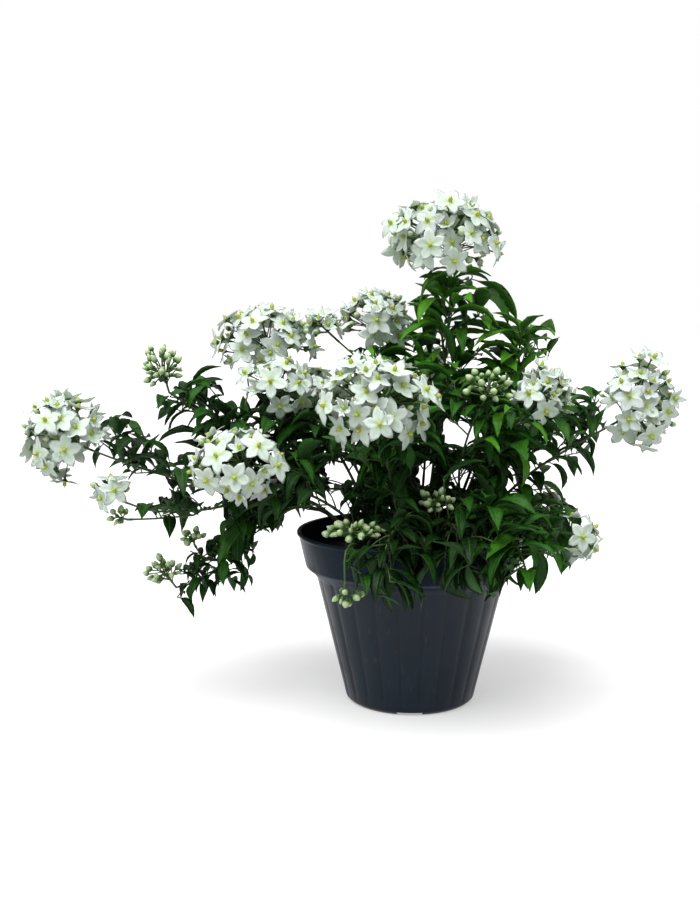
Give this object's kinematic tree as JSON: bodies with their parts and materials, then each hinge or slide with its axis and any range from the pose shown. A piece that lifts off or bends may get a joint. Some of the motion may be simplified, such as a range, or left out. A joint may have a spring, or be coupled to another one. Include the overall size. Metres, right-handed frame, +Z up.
{
  "type": "potted flowering vine",
  "caption": "Bushy potted potato vine: heads of white starry flowers and pale buds over dark leafy stems, in a tapered fluted plastic nursery pot.",
  "frame": {"origin": "centre of the pot's foot, on the floor that it stands on", "axes": "+Z up along the pot's axis, -Y towards the side that the picture shows, +X to its right"},
  "size_m": [0.5331, 0.3126, 0.4149],
  "materials": {
    "dark_plastic": "satin",
    "potting_soil": "rough",
    "leaf_green": "satin",
    "petal_white": "matte",
    "bud_cream": "matte"
  },
  "bodies": {
    "root": {"pot": "dark_plastic", "soil": "potting_soil", "leafy_stem_far_left": "leaf_green", "leafy_stem_left_drop": "leaf_green", "leafy_stem_upper_left": "leaf_green", "leafy_stem_mid_left": "leaf_green", "leafy_stem_centre": "leaf_green", "leafy_stem_crown": "leaf_green", "leafy_stem_upper_right": "leaf_green", "leafy_stem_right_inner": "leaf_green", "leafy_stem_far_right": "leaf_green", "leafy_stem_lower_right": "leaf_green", "leafy_stem_right_drape": "leaf_green", "leafy_stem_front_right": "leaf_green", "leafy_stem_front": "leaf_green", "leafy_stem_front_left": "leaf_green", "leafy_stem_back_left": "leaf_green", "leafy_stem_back": "leaf_green", "leafy_stem_back_right": "leaf_green", "head_crown": "petal_white", "head_far_left": "petal_white", "head_left_low": "petal_white", "head_upper_left": "petal_white", "head_upper_left_front": "petal_white", "head_mid_left": "petal_white", "head_centre": "petal_white", "head_upper_mid": "petal_white", "head_half_open": "petal_white", "head_right_inner": "petal_white", "head_far_right": "petal_white", "head_lower_right": "petal_white", "head_right_single": "petal_white", "head_back_left": "petal_white", "head_back": "petal_white", "head_back_low": "petal_white", "head_back_right": "petal_white", "bud_spray_upper_left": "bud_cream", "bud_spray_left_low": "bud_cream", "bud_spray_left_drop": "bud_cream", "bud_spray_left_small": "bud_cream", "bud_spray_front_left": "bud_cream", "bud_spray_pot_front": "bud_cream", "bud_spray_front": "bud_cream", "bud_spray_right": "bud_cream"}
  },
  "joints": []
}
